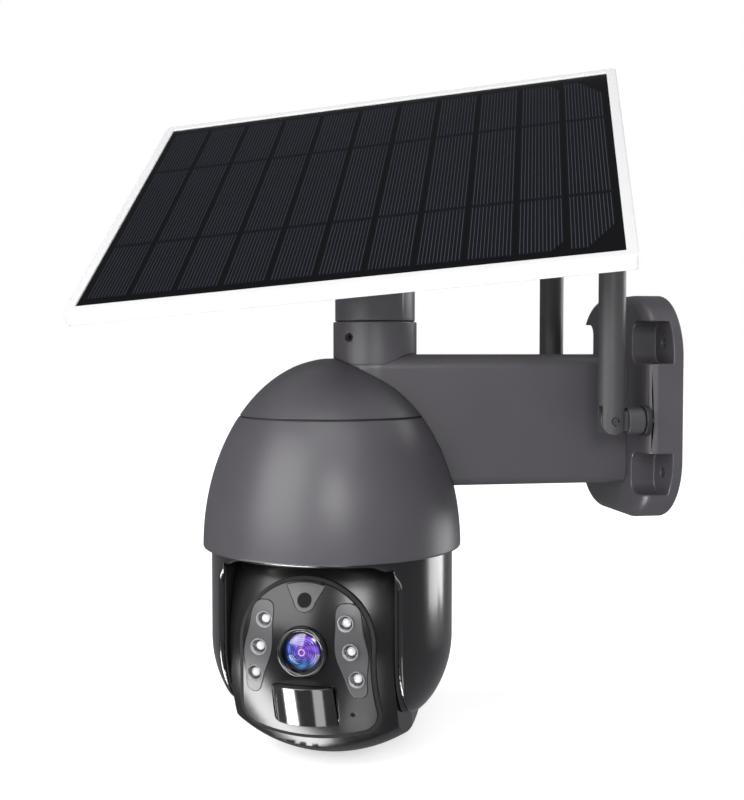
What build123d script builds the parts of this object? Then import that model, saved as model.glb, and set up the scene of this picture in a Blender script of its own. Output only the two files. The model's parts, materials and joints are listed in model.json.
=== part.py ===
from build123d import *
import os
from math import asin, atan, cos, degrees, hypot, radians, sin, sqrt

os.makedirs("parts", exist_ok=True)

# Solar-powered pan and tilt security camera on a wall arm. Millimetres, +Z up.
# Origin: centre of the wall plate's back face. -Y points away from the wall.

# ---- wall plate and arm ----
plate_w, plate_h, plate_t = 94, 108, 17
plate_corner, plate_wall, plate_edge = 30, 3, 5
hole_x, hole_z, hole_r = 35, 31, 2.4
pocket_w, pocket_h, pocket_floor = 44, 20, 5
arm_w, arm_h, arm_corner, arm_wall, arm_z = 41, 63, 7, 1.8, -6

# ---- dome, turned about the pan axis ----
dome_y = -159
dome_r, dome_rise, dome_wall, rim_z = 62, 89.5, 2.5, -66
seam_z, seal_t = -3.5, 0.8
ledge_r, ledge_z, ledge_t = 49, -38, 3

# ---- pan drive ----
base_t, base_r = 3, 55.5
bearing_r, bearing_t, spindle_r, spindle_bore = 16, 7, 9.95, 7.5
gear_module, pan_teeth, tilt_teeth, pinion_teeth = 1.0, 56, 40, 10
gear_addendum, gear_dedendum = 0.7, 1.0
motor_r, shaft_r = 10, 1.5
pan_gear_z, pan_gear_t = -20, 4
pan_gear_hub_r, pan_motor_az = 14, 200
running = 0.05

# ---- yoke and camera ball, both about the tilt axis ----
head_az = 66
tilt_z = -109
yoke_r, yoke_top_r, yoke_top, yoke_shoulder = 58, 55, 61, 43
yoke_wall, cheek_x, cheek_plate_t, cheek_roof = 2.2, 40, 2, 38
arch_top, arch_corner, arch_lip = 41, 12, 2.4
cavity_r = 57.3
ball_r, ball_half, ball_crown, ball_wall = 56.3, 39.3, 72, 2.2
axle_r, bush_r = 5, 7
tilt_gear_x, tilt_gear_t = 42.8, 2.5
tilt_motor_x, tilt_motor_t = 46.3, 8.4

# ---- face of the camera ball: shells of one big sphere behind the tilt axis ----
face_centre, seat_r, face_r, gasket_r, trim_r = 36, 82.4, 85.0, 84.6, 85.25
gasket_w = 1.8
lens_v, lens_r, lens_ring_r = 2, 9.3, 11.4
lens_ring_front = 51.4
led_spots = [(19, 15), (21.4, 2.5), (24, -10)]
led_r, led_lens_r = 3.8, 2.8
sensor_v, sensor_r = 24.5, 3.2
window_w, window_low, window_high, window_r = 30.4, -32.7, -13.6, 24
window_front_low, window_front_high = 45, 51.9

# ---- collar, post and panel ----
collar_y = dome_y + 21
collar_r, collar_top, collar_bore = 20.2, 41, 17
post_r, post_top = 19.3, 61
pivot_z, ear_r, ear_in, ear_out = 79.7, 10, 8.2, 17
panel_az, panel_tilt, panel_spin = 61.66, 36.44, 8.35
panel_l, panel_w, panel_t, panel_top = 250, 188, 7, 25
panel_dx, panel_dy = -3.7, 17.3
panel_border, laminate_t, laminate_drop = 5, 4.2, 0.8
disc_r, disc_t, mount_t = 22, 4, 3
bolt_r = 3

# ---- antennas ----
antenna_x, antenna_y, antenna_z = 43, -34, -5.5
antenna_r, antenna_l, antenna_flat = 6.4, 88, 0.85
barrel_r, tongue_t = 6.2, 5

LOW = (Align.CENTER, Align.CENTER, Align.MIN)


# ---------------------------------------------------------------- helpers
def save(name, *shapes):
    """Write one node: every solid of the shapes given."""
    solids = [s for shape in shapes for s in shape.solids()]
    node = solids[0] if len(solids) == 1 else Compound(children=solids)
    export_step(node, f"parts/{name}.step")


def rod(radius, length, base=(0, 0, 0), along="z", bore=0):
    """A round bar or tube that starts at base and runs along +x, +y or +z."""
    turn = {"x": Rot(0, 90, 0), "y": Rot(-90, 0, 0), "z": Rot(0, 0, 0)}[along]
    bar = Cylinder(radius, length, align=LOW)
    if bore:
        bar -= Cylinder(bore, length, align=LOW)
    return Pos(*base) * turn * bar


def block(x, y, z):
    """A box given by its (low, high) along each axis."""
    size = [high - low for low, high in (x, y, z)]
    middle = [(high + low) / 2 for low, high in (x, y, z)]
    return Pos(*middle) * Box(*size)


def slab_y(sketch, y_from, y_to):
    """A sketch drawn in the XZ plane, extruded from y_from down to y_to."""
    return Pos(0, y_from, 0) * extrude(Rot(90, 0, 0) * sketch, amount=abs(y_from - y_to), dir=(0, -1, 0))


def outline(*edges):
    """A closed outline filled in."""
    return Sketch() + make_face(Curve() + list(edges))


def turned(*edges):
    """A closed outline of radius and height, revolved about Z."""
    return revolve(Plane.XZ * outline(*edges), Axis.Z)


def gear(teeth, thickness, bore, phase=0):
    """A spur gear on Z with straight-flanked teeth and generous backlash."""
    pitch_r = gear_module * teeth / 2
    root, tip = pitch_r - gear_dedendum, pitch_r + gear_addendum
    flank = Polygon((root - 0.4, -0.75), (root, -0.75), (tip, -0.32), (tip, 0.32), (root, 0.75), (root - 0.4, 0.75),
                    align=None)
    wheel = Circle(root) + [Rot(0, 0, phase + 360 * i / teeth) * flank for i in range(teeth)]
    if bore:
        wheel -= Circle(bore)
    return extrude(wheel, amount=thickness)


def spots(radius, count, start=0):
    """Points evenly spread on a circle."""
    return [
        (radius * cos(radians(start + 360 * i / count)), radius * sin(radians(start + 360 * i / count)))
        for i in range(count)
    ]


# ---------------------------------------------------------------- wall plate
def wall_plate():
    outer = slab_y(RectangleRounded(plate_w, plate_h, plate_corner), 0, -plate_t)
    outer = fillet(outer.faces().sort_by(Axis.Y)[0].edges(), plate_edge)
    inside = RectangleRounded(plate_w - 2 * plate_wall, plate_h - 2 * plate_wall, plate_corner - plate_wall)
    hollow = slab_y(inside, 0, plate_wall - plate_t)
    corners = [(sx, sz) for sx in (-1, 1) for sz in (-1, 1)]
    edge = plate_w / 2
    for sx, sz in corners:
        centre = (sx * (edge + pocket_w / 2 - 21), sz * hole_z)
        pocket = Pos(*centre) * RectangleRounded(pocket_w, pocket_h, 6)
        around = Pos(*centre) * RectangleRounded(pocket_w + 5, pocket_h + 5, 8)
        hollow -= slab_y(around, 1, -plate_t)
        outer -= slab_y(pocket, -pocket_floor, -plate_t - 1)
        outer -= rod(hole_r, pocket_floor + 2, (sx * hole_x, -pocket_floor - 1, sz * hole_z), "y")
    plate = outer - hollow
    for sx in (-1, 1):
        plate -= rod(3, plate_t, (sx * antenna_x, -plate_t - 1, antenna_z), "y")
    return plate - rod(11, plate_t, (0, -plate_t - 1, arm_z), "y")


# ---------------------------------------------------------------- arm and dome
def arm_solid(inset):
    """The arm as a full bar: it ends in a half round about the collar's axis."""
    half_w, half_h = arm_w / 2 - inset, arm_h / 2 - inset
    plan = Pos(0, (collar_y - plate_t) / 2) * Rectangle(2 * half_w, -plate_t - collar_y)
    plan += Pos(0, collar_y) * Circle(half_w)
    bar = Pos(0, 0, arm_z - half_h) * extrude(plan, amount=2 * half_h)
    rims = bar.faces().filter_by(Axis.Z).edges().filter_by(lambda e: abs(e.center().Y + plate_t) > 0.01)
    return fillet(rims, arm_corner - inset)


def dome_arc(inset, low, high):
    """The dome's side between two heights: part of an ellipse, drawn from the rim's level."""
    across, up = dome_r - inset, dome_rise - inset
    first, last = (asin(min(1, (z - rim_z) / up)) for z in (low, high))
    angles = [first + (last - first) * i / 6 for i in range(7)]
    points = [(across * cos(a), up * sin(a)) for a in angles]
    return Spline(*points, tangents=[(-across * sin(a), up * cos(a)) for a in (first, last)])


def dome_turned(*edges):
    """A closed outline of radius and height above the rim, turned about the pan axis."""
    return Pos(0, dome_y, rim_z) * revolve(Plane.XZ * outline(*edges), Axis.Z)


def dome_band(outer, inner, low, high):
    """A ring of the dome's wall between two insets and two heights."""
    outside, inside = dome_arc(outer, low, high), dome_arc(inner, low, high)
    return dome_turned(outside, Line(outside @ 1, inside @ 1), inside, Line(inside @ 0, outside @ 0))


def dome_solid():
    """The dome's outer form, filled."""
    levels = [rim_z, seam_z - seal_t, seam_z, rim_z + dome_rise]
    sides = [dome_arc(0, low, high) for low, high in zip(levels, levels[1:])]
    return dome_turned(*sides, Line(sides[-1] @ 1, (0, 0)), Line((0, 0), sides[0] @ 0))


def dome_parts():
    lower = dome_band(0, dome_wall, rim_z, seam_z - seal_t)
    low, high = ledge_z - rim_z, ledge_z + ledge_t - rim_z
    side = dome_arc(1, ledge_z, ledge_z + ledge_t)
    lower += dome_turned(side, Line(side @ 1, (ledge_r, high)), Line((ledge_r, high), (ledge_r, low)),
                         Line((ledge_r, low), side @ 0))
    lower = fillet(lower.edges().group_by(Axis.Z)[0].sort_by(SortBy.RADIUS)[-1], 1)
    lower -= rod(8, 30, (0, dome_y + 30, -14), "y")
    for x, y in spots(52.3, 4, 45):
        lower -= rod(1.2, 10, (x, dome_y + y, ledge_z - 1))
    cap = dome_band(0, dome_wall, seam_z, rim_z + dome_rise)
    seal = dome_band(0.6, dome_wall, seam_z - seal_t, seam_z)
    return lower, cap, seal


def battery():
    """Six round cells, two wide and three high, between two end frames."""
    cell_r, cell_l, pitch, rear = 9.1, 65, 18.4, -31
    places = [(sx * pitch / 2, arm_z + row * pitch) for sx in (-1, 1) for row in (-1, 0, 1)]
    cells = [rod(cell_r, cell_l, (x, rear - cell_l, z), "y") for x, z in places]
    cells += [rod(2.8, 1.2, (x, rear, z), "y") for x, z in places]
    fused = [cells[i] + cells[i + len(places)] for i in range(len(places))]
    frames = []
    for y in (rear + 2.4, rear - cell_l):
        frame = slab_y(Pos(0, arm_z) * RectangleRounded(36.6, 56.4, 6), y, y - 2.4)
        for x, z in places:
            frame -= rod(6.5, 9, (x, y - 5, z), "y")
        frames.append(frame)
    return fused, frames


def charge_board():
    board = slab_y(Pos(0, arm_z) * Rectangle(30, 50), -22, -23.6)
    coil = slab_y(Pos(6, arm_z + 12) * RectangleRounded(12, 12, 3), -23.6, -28)
    chip = slab_y(Pos(-7, arm_z + 8) * Rectangle(9, 9), -23.6, -25)
    plug = slab_y(Pos(0, arm_z - 18) * Rectangle(16, 6), -23.6, -28)
    return board + coil + chip + plug


# ---------------------------------------------------------------- pan drive
def pan_base():
    top = ledge_z
    plate = rod(base_r, base_t, (0, 0, top - base_t))
    plate += rod(bearing_r + 3.5, bearing_t, (0, 0, top))
    plate -= rod(bearing_r, bearing_t + 1, (0, 0, top))
    plate -= rod(spindle_r + 3, base_t + 2, (0, 0, top - base_t - 1))
    for x, y in spots(35, 3, 20):
        plate += rod(3, 30, (x, y, top))
    for x, y in spots(52.3, 4, 45):
        plate -= rod(1.6, base_t + 2, (x, y, top - base_t - 1))
    return Pos(0, dome_y, 0) * plate


def base_screws():
    screws = [rod(2.6, 1.6, (x, dome_y + y, ledge_z - base_t - 1.6)) + rod(1.1, 5, (x, dome_y + y, ledge_z - base_t))
              for x, y in spots(52.3, 4, 45)]
    return screws


def pan_bearing():
    """A deep-groove bearing, as its two rings and the balls' cage in one piece."""
    ring = rod(bearing_r, bearing_t, bore=spindle_r + running)
    groove = rod(bearing_r - 2, 1, bore=spindle_r + 2)
    ring -= groove
    ring -= Pos(0, 0, bearing_t - 1) * groove
    return Pos(0, dome_y, ledge_z) * ring


pan_centres = gear_module * (pan_teeth + pinion_teeth) / 2
motor_x = pan_centres * cos(radians(pan_motor_az))
motor_y = dome_y + pan_centres * sin(radians(pan_motor_az))


def pan_motor():
    can = rod(motor_r, 15, (motor_x, motor_y, ledge_z))
    can = fillet(can.edges().group_by(Axis.Z)[-1], 1)
    can += rod(3.5, 1.2, (motor_x, motor_y, ledge_z + 15))
    return can - rod(shaft_r + running, 9, (motor_x, motor_y, ledge_z + 8))


def pan_pinion():
    turn = pan_motor_az + 180
    wheel = gear(pinion_teeth, pan_gear_t + 0.6, 0, phase=turn + 180 / pinion_teeth)
    wheel += rod(shaft_r, 9.5, (0, 0, -9.5))
    return Pos(motor_x, motor_y, pan_gear_z - 0.3) * wheel


def pan_gear():
    wheel = gear(pan_teeth, pan_gear_t, 0, phase=pan_motor_az - head_az)
    wheel += rod(pan_gear_hub_r, 4, (0, 0, -4))
    wheel -= rod(spindle_r, 20, (0, 0, -8))
    for x, y in spots(20.5, 6):
        wheel -= rod(4.5, 9, (x, y, -2))
    return Pos(0, 0, pan_gear_z - tilt_z) * wheel


def spindle():
    """Flanged tube that carries the yoke; wires pass through its bore."""
    foot = yoke_top
    tube = rod(22, 3, (0, 0, foot)) + rod(spindle_r, 34, (0, 0, foot))
    tube += rod(spindle_r + 2.2, ledge_z - tilt_z - foot - 0.3, (0, 0, foot))
    return tube - rod(spindle_bore, 50, (0, 0, foot - 1))


def main_board():
    board = rod(38, 1.6, (0, 0, -8))
    board += block((-14, 2), (-12, 4), (-6.4, -4.6))
    board += block((8, 20), (6, 16), (-6.4, -5))
    board += block((-24, -16), (8, 26), (-6.4, -3))
    board += block((6, 26), (-26, -18), (-6.4, -2.6))
    board -= rod(6, 9, (0, 24, -12))
    return Pos(0, dome_y, 0) * board


# ---------------------------------------------------------------- yoke
def yoke_outline(inset, top):
    """The yoke's outer form: straight sides, a taper at the top, a rounded foot."""
    r = yoke_r - inset
    foot = Spline((r, 1), (r - 3.4, -18), (r - 10.9, -31), (38, -36 + inset), tangents=[(0, -1), (-1, -0.2)])
    upper = min(top, yoke_shoulder)
    rim = Line((r, upper), (r, 1))
    lid = [Line((0, top), (r, top))]
    if top > yoke_shoulder:
        lid = [Line((0, top), (yoke_top_r, top)), Line((yoke_top_r, top), (r, upper))]
    bottom = [Line((38, -36 + inset), (0, -36 + inset)), Line((0, -36 + inset), (0, top))]
    return turned(*lid, rim, foot, *bottom)


def on_arch_lip(edge):
    """Whether an edge borders the arch on the yoke's outer surface."""
    place = edge.center()
    return hypot(place.X, place.Y) > 54 and abs(place.X) < cheek_x + 0.1 and -30 < place.Z < arch_top + 0.5


def yoke_shell():
    arch = Pos(0, arch_top - 60) * RectangleRounded(2 * cheek_x, 120, arch_corner)
    body = yoke_outline(0, yoke_top) - slab_y(arch, 80, -80)
    body = fillet(body.edges().filter_by(on_arch_lip), arch_lip)
    body -= rod(cavity_r, 2 * cheek_x, (-cheek_x, 0, 0), "x")
    body -= cheek_space(cheek_x)
    body -= rod(spindle_bore, 40, (0, 0, 40))
    return body


def cheek_space(inner_x):
    """The hollow inside both cheeks, from inner_x outwards."""
    space = yoke_outline(yoke_wall, cheek_roof)
    return space - block((-inner_x, inner_x), (-99, 99), (-99, 99))


def cheek_plates():
    slab = cheek_space(cheek_x) & block((-cheek_x - cheek_plate_t, cheek_x + cheek_plate_t), (-99, 99), (-99, 99))
    slab -= rod(bush_r, 120, (-60, 0, 0), "x")
    post_x = cheek_x + cheek_plate_t
    for w in (-14, 14):
        slab += rod(2.2, tilt_motor_x - post_x, (post_x, w, tilt_centres), "x")
    return slab


tilt_centres = gear_module * (tilt_teeth + pinion_teeth) / 2


def tilt_bushes():
    """Flanged plain bearings, one in each cheek plate."""
    bush = rod(bush_r, cheek_plate_t, (cheek_x, 0, 0), "x") + rod(bush_r + 1.5, 0.5, (cheek_x + cheek_plate_t, 0, 0), "x")
    bush -= rod(axle_r + running, 9, (cheek_x - 1, 0, 0), "x")
    return bush, mirror(bush, Plane.YZ)


def tilt_motor():
    can = rod(motor_r, tilt_motor_t, (tilt_motor_x, 0, tilt_centres), "x")
    ears = SlotCenterToCenter(28, 6)
    can += Pos(tilt_motor_x, 0, tilt_centres) * extrude(Plane.YZ * ears, amount=1)
    return can - rod(shaft_r + running, 6, (tilt_motor_x - 1, 0, tilt_centres), "x")


def tilt_pinion():
    wheel = gear(pinion_teeth, tilt_gear_t, 0, phase=180 + 180 / pinion_teeth)
    wheel += rod(shaft_r, 7, (0, 0, 1))
    return Pos(tilt_gear_x, 0, tilt_centres) * Rot(0, 90, 0) * Rot(0, 0, 180) * wheel


def tilt_gear():
    wheel = gear(tilt_teeth, tilt_gear_t, axle_r, phase=180)
    for x, y in spots(12.5, 6):
        wheel -= rod(3.5, 9, (x, y, -2))
    return Pos(tilt_gear_x, 0, 0) * Rot(0, 90, 0) * wheel


def tilt_axles():
    long = rod(axle_r, tilt_gear_x + tilt_gear_t + 0.5 - 34.6, (34.6, 0, 0), "x")
    short = rod(axle_r, 8.6, (34.6, 0, 0), "x")
    flange = rod(9, ball_half - ball_wall - 34.6, (34.6, 0, 0), "x")
    wire_bore = rod(2.6, 30, (30, 0, 0), "x")
    return long + flange - wire_bore, mirror(short + flange - wire_bore, Plane.YZ)


# ---------------------------------------------------------------- camera ball
def ball_form(inset):
    """A crowned barrel turned about the tilt axis."""
    half = ball_half - inset
    crown = ball_crown - inset
    end_r = ball_r - inset - (crown - sqrt(crown**2 - half**2))
    rim = ThreePointArc((-half, end_r), (0, ball_r - inset), (half, end_r))
    ends = [Line((half, end_r), (half, 0)), Line((half, 0), (-half, 0)), Line((-half, 0), (-half, end_r))]
    return revolve(outline(rim, *ends), Axis.X)


def face_sphere(radius):
    return Pos(0, face_centre, 0) * Sphere(radius)


def face_outline(grow=0):
    """The arch-topped outline of the face, slightly waisted beside the lens, moved outwards by grow."""
    shoulder_at = (22 + 0.7 * grow, 24 + 0.71 * grow)
    waist_at = (30.3 + grow, 3)
    corner_x, corner_z = 33.2 + 1.05 * grow, -33.3 - 0.93 * grow
    crown = ThreePointArc((-shoulder_at[0], shoulder_at[1]), (0, 33 + grow), shoulder_at)
    shoulder = TangentArc(shoulder_at, waist_at, tangent=crown % 1)
    waist = TangentArc(waist_at, (corner_x, corner_z), tangent=shoulder % 1)
    chin = ThreePointArc((corner_x, corner_z), (0, -38.4 - grow), (-corner_x, corner_z))
    face = outline(crown, shoulder, waist, chin, mirror(waist, Plane.YZ), mirror(shoulder, Plane.YZ))
    return fillet(face.vertices().group_by(Axis.Y)[0], 9 + grow)


def from_face(sketch, outer_r, inner_r):
    """A sketch in the face's plane, cut out of the shell between two face spheres."""
    return slab_y(sketch, -28, -60) & (face_sphere(outer_r) - face_sphere(inner_r))


def motion_window():
    """The motion window: an upright cylinder that leans back with the face."""
    lean = (window_front_high - window_front_low) / (window_high - window_low)
    axis_w = (window_front_high + window_front_low) / 2 - window_r
    middle = (window_high + window_low) / 2
    bar = Pos(0, -axis_w, middle) * Rot(degrees(atan(lean)), 0, 0) * Cylinder(window_r, 60)
    front = Pos(0, middle) * RectangleRounded(window_w, window_high - window_low, 2.5)
    return slab_y(front, -38, -60) & bar


def leaf(side):
    """A rounded leaf that carries three lamps."""
    outer = Spline((19.3, 23.6), (26.6, 12), (29.2, 0), (28.4, -12), (25.2, -18.8), tangents=[(1, 0), (-1, -0.1)])
    inner = Spline((25.2, -18.8), (19.6, -12), (14.8, 2), (14.6, 16), (19.3, 23.6), tangents=[(-1, -0.1), (1, 0)])
    return outline(outer, inner) if side > 0 else outline(mirror(outer, Plane.YZ), mirror(inner, Plane.YZ))


def sensor_tongue():
    """A tongue that comes down from the top of the face around the light sensor."""
    sides = Polygon((-11, 34), (11, 34), (4.9, 23.4), (-4.9, 23.4), align=None)
    tongue = slab_y(sides, -28, -60) + slab_y(Pos(0, sensor_v) * Circle(5.1), -28, -60)
    return tongue & slab_y(face_outline(-0.8), -28, -60)


def ball_shell():
    outer = ball_form(0) & face_sphere(seat_r)
    inner = ball_form(ball_wall) & face_sphere(seat_r - ball_wall)
    shell = outer - inner
    shell -= rod(axle_r, 120, (-60, 0, 0), "x")
    shell -= slab_y(face_outline(-2.2), -20, -60)
    return shell


service_y, service_half = (4, 20), 13


def ball_parts():
    shell = ball_shell()
    front = shell & block((-60, 60), (-60, 0), (-60, 60))
    rear = shell & block((-60, 60), (0, 60), (-60, 60))
    gap = 0.25
    door = block((-service_half, service_half), service_y, (-60, -50))
    opening = block((-service_half - gap, service_half + gap), (service_y[0] - gap, service_y[1] + gap), (-60, -48))
    cover = rear & door
    rear -= opening
    for ring, count in ((0, 1), (3.2, 6), (6.4, 12)):
        for x, z in spots(ring, count) if ring else [(0, 0)]:
            rear -= rod(0.8, 20, (x, 45, z), "y")
    return front, rear, cover


def face_plate():
    plate = from_face(face_outline(), face_r, seat_r)
    plate -= rod(lens_ring_r, 40, (0, -60, lens_v), "y")
    window = RectangleRounded(window_w, window_high - window_low, 2.5)
    plate -= slab_y(Pos(0, (window_high + window_low) / 2) * window, -28, -60)
    pockets = slab_y(leaf(1), -28, -60) + slab_y(leaf(-1), -28, -60) + sensor_tongue()
    plate -= pockets - face_sphere(trim_r - 1.25)
    for x, z in lamp_places():
        plate -= rod(led_r, 40, (x, -60, z), "y")
    plate -= rod(sensor_r, 40, (0, -60, sensor_v), "y")
    return plate - rod(0.9, 40, (21.5, -60, -27), "y")


def lamp_places():
    return [(side * x, z) for side in (-1, 1) for x, z in led_spots]


def face_trims():
    trims = []
    for form in (slab_y(leaf(1), -28, -60), slab_y(leaf(-1), -28, -60), sensor_tongue()):
        trim = form & (face_sphere(trim_r) - face_sphere(trim_r - 1.25))
        for x, z in lamp_places():
            trim -= rod(led_r, 40, (x, -60, z), "y")
        trims.append(trim - rod(sensor_r, 40, (0, -60, sensor_v), "y"))
    return trims


def surface_y(x, z):
    """How far out the face's surface stands at a point of the face."""
    return face_centre - sqrt(face_r**2 - x**2 - z**2)


def led_cups():
    """Reflector cups: a flange ring and a cone open to the front."""
    cups = []
    for x, z in lamp_places():
        front = surface_y(x, z) - 0.6
        cup = rod(led_r - 0.02, 6, (x, front, z), "y")
        funnel = Pos(x, front, z) * Rot(-90, 0, 0) * Cone(led_r - 0.5, led_lens_r, 3, align=LOW)
        cups.append(cup - funnel - rod(led_lens_r, 2.4, (x, front + 2.9, z), "y"))
    return cups


def led_lenses():
    lenses = []
    for x, z in lamp_places():
        front = surface_y(x, z) + 0.2
        stem = rod(led_lens_r - 0.02, 2.2, (x, front + 2.2, z), "y")
        bulb = Pos(x, front + 2.9, z) * Sphere(led_lens_r - 0.45)
        lenses.append(stem + (bulb & block((-99, 99), (front - 9, front + 2.9), (-99, 99))))
    return lenses


def lens_parts():
    """Ring, barrel and front glass, all on the lens axis."""
    back = -40.5
    ring = rod(lens_ring_r - 0.02, lens_ring_front + back, (0, -lens_ring_front, lens_v), "y", bore=lens_r)
    outer = ring.edges().filter_by(GeomType.CIRCLE).group_by(Axis.Y)[0]
    ring = chamfer(outer, 0.7)
    barrel = rod(lens_r - 0.9, 17, (0, back - 1, lens_v), "y") + rod(lens_r + 1.2, 2.4, (0, back, lens_v), "y")
    barrel -= rod(5.5, 4, (0, back - 2, lens_v), "y")
    dome = Pos(0, -lens_ring_front + 1.2 + 21, lens_v) * Sphere(21)
    glass = rod(lens_r - 0.02, lens_ring_front + back - 1.8, (0, -lens_ring_front + 0.6, lens_v), "y") & dome
    return ring, barrel, glass


def image_board():
    board = slab_y(Rectangle(44, 44), -22.9, -24.5)
    board += slab_y(Pos(-13, -13) * Rectangle(9, 9), -21.5, -22.9)
    return board + slab_y(Pos(13, 10) * Rectangle(7, 12), -20.4, -22.9)


def led_board():
    board = slab_y(Pos(0, -2) * RectangleRounded(56, 58, 14), -28, -29.2)
    board -= rod(lens_r + 1.6, 20, (0, -40, lens_v), "y")
    for x, z in lamp_places():
        board += rod(2.2, 35.6 - 29.2, (x, -35.6, z), "y")
    return board


def microphone():
    return rod(0.88, 3, (21.5, surface_y(21.5, -27) + 0.4, -27), "y")


def speaker():
    cone = rod(12, 2, (0, 49.4, 0), "y", bore=10) + rod(12, 3, (0, 46.4, 0), "y")
    return cone + rod(7, 3, (0, 43.4, 0), "y")


def service_board():
    board = block((-15, 15), (2, 22), (-44, -42.4))
    return board + block((-7, 7), (5, 19), (-45.6, -44)) - rod(2, 9, (11, 12, -50))


def reset_button():
    return rod(1.8, 2.8, (11, 12, -48)) + rod(2.6, 0.7, (11, 12, -45.6))


# ---------------------------------------------------------------- collar, post, panel mount
def panel_collar():
    ring = Pos(0, collar_y, 0) * (rod(collar_r, collar_top - 6, (0, 0, 6)) - rod(collar_bore, 60, (0, 0, 0)))
    ring -= arm_solid(0)
    ring -= dome_solid()
    ring = ring.solids().sort_by(SortBy.VOLUME)[-1]
    return ring - collar_hole(1.9)


screw_az = 42


def collar_hole(radius, start=10, length=20):
    """A radial bore in the collar's wall."""
    return Pos(0, collar_y, 33.5) * Rot(0, 0, screw_az - 90) * rod(radius, length, (start, 0, 0), "x")


def collar_screw():
    grub = collar_hole(1.88, collar_bore + 0.05, 2.4)
    return grub - collar_hole(0.8, collar_bore + 1.3, 3)


def swivel_post():
    """Turns in the collar; a fork at its top holds the tilt hinge."""
    post = rod(collar_bore - 0.1, collar_top - 26.7, (0, 0, 27))
    post += rod(post_r, post_top - collar_top - 0.3, (0, 0, collar_top + 0.3))
    for side in (-1, 1):
        low, high = sorted((side * ear_in, side * ear_out))
        post += rod(ear_r, high - low, (low, 0, pivot_z), "x")
        post += block((low, high), (-ear_r, ear_r), (post_top - 1, pivot_z))
    post -= rod(bolt_r, 60, (-30, 0, pivot_z), "x")
    post -= rod(11, 30, (0, 0, 26))
    return Pos(0, collar_y, 0) * Rot(0, 0, panel_az) * post


def hinge_bolt():
    """Pivot bolt with a hexagon head, and its nut."""
    bolt = rod(bolt_r - 0.02, 2 * ear_out + 5, (-ear_out, 0, pivot_z), "x")
    head = Pos(-ear_out - 4, 0, pivot_z) * extrude(Plane.YZ * RegularPolygon(5.6, 6), amount=4)
    nut = Pos(ear_out, 0, pivot_z) * extrude(Plane.YZ * RegularPolygon(5.6, 6), amount=4)
    nut -= rod(bolt_r - 0.02, 20, (ear_out - 5, 0, pivot_z), "x")
    place = Pos(0, collar_y, 0) * Rot(0, 0, panel_az)
    return place * (bolt + head), place * nut


def tilt_knuckle():
    top = panel_top - panel_t - mount_t
    tongue = rod(9, 16, (-8, 0, 0), "x") + block((-8, 8), (-9, 9), (0, top - disc_t))
    disc = rod(disc_r, disc_t, (0, 0, top - disc_t))
    disc = fillet(disc.edges().group_by(Axis.Z)[0], 1)
    tongue += disc
    tongue -= rod(bolt_r + running, 60, (-30, 0, 0), "x")
    return tongue - rod(bolt_r + running, 20, (0, 0, 6))


def mount_plate():
    top = panel_top - panel_t
    plate = Pos(0, 0, top - mount_t) * extrude(RectangleRounded(64, 64, 8), amount=mount_t)
    plate -= rod(bolt_r, 20, (0, 0, 0))
    return plate - rod(6, 2, (0, 0, top - 2))


def spin_bolt():
    top = panel_top - panel_t
    return rod(bolt_r - 0.02, top - 7, (0, 0, 7)) + rod(5.98, 1.9, (0, 0, top - 2))


def panel_frame():
    low = panel_top - panel_t
    outer = Pos(0, 0, low) * extrude(RectangleRounded(panel_l, panel_w, 2.5), amount=panel_t)
    outer = fillet(outer.edges().group_by(Axis.Z)[-1], 0.8)
    seat_l, seat_w = panel_l - 2 * panel_border, panel_w - 2 * panel_border
    outer -= block((-seat_l / 2, seat_l / 2), (-seat_w / 2, seat_w / 2), (low + 2, panel_top + 1))
    back_l, back_w = seat_l - 10, seat_w - 10
    return outer - block((-back_l / 2, back_l / 2), (-back_w / 2, back_w / 2), (low - 1, panel_top))


def solar_laminate():
    low = panel_top - panel_t + 2
    seat_l, seat_w = panel_l - 2 * panel_border, panel_w - 2 * panel_border
    return block((-seat_l / 2, seat_l / 2), (-seat_w / 2, seat_w / 2), (low, low + laminate_t))


def panel_back():
    low = panel_top - panel_t
    back_l, back_w = panel_l - 2 * panel_border - 10, panel_w - 2 * panel_border - 10
    return block((-back_l / 2, back_l / 2), (-back_w / 2, back_w / 2), (low, low + 2))


def junction_box():
    low = panel_top - panel_t
    box = Pos(0, 0, low - 12) * extrude(RectangleRounded(52, 34, 5), amount=12)
    box = fillet(box.faces().sort_by(Axis.Z)[0].edges(), 2)
    return Pos(64, 40, 0) * box


def cable_gland():
    """A ribbed gland on the junction box, ready for the panel's lead."""
    gland = rod(5.5, 4, (0, 0, 0)) + rod(4.6, 6, (0, 0, 4)) + rod(3.6, 3, (0, 0, 10))
    gland -= rod(1.9, 14, (0, 0, -0.5))
    return Pos(64, 40 - 17, panel_top - panel_t - 6.2) * Rot(90, 0, 0) * gland


# ---------------------------------------------------------------- antennas
def antenna_sockets():
    socket = rod(7.2, 2, (antenna_x, -plate_t - 2, antenna_z), "y")
    socket += rod(2.95, 13, (antenna_x, -plate_t - 1, antenna_z), "y")
    socket += rod(2.95, 4, (antenna_x, -plate_t - 6, antenna_z), "y")
    return socket, mirror(socket, Plane.YZ)


def antenna_base():
    """Turns on its socket; a tongue at its end carries the antenna."""
    rear, front = -plate_t - 2.2, antenna_y + 7
    base = rod(barrel_r, rear - front, (0, front, 0), "y")
    base = fillet(base.edges().group_by(Axis.Y)[-1], 0.6)
    base += rod(6, tongue_t, (-tongue_t / 2, antenna_y, 0), "x")
    base += block((-tongue_t / 2, tongue_t / 2), (antenna_y, front + 1), (-4.5, 4.5))
    base += rod(1.5, 13.6, (-6.8, antenna_y, 0), "x")
    return base - rod(3, 5.2, (0, rear - 4.9, 0), "y")


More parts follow.
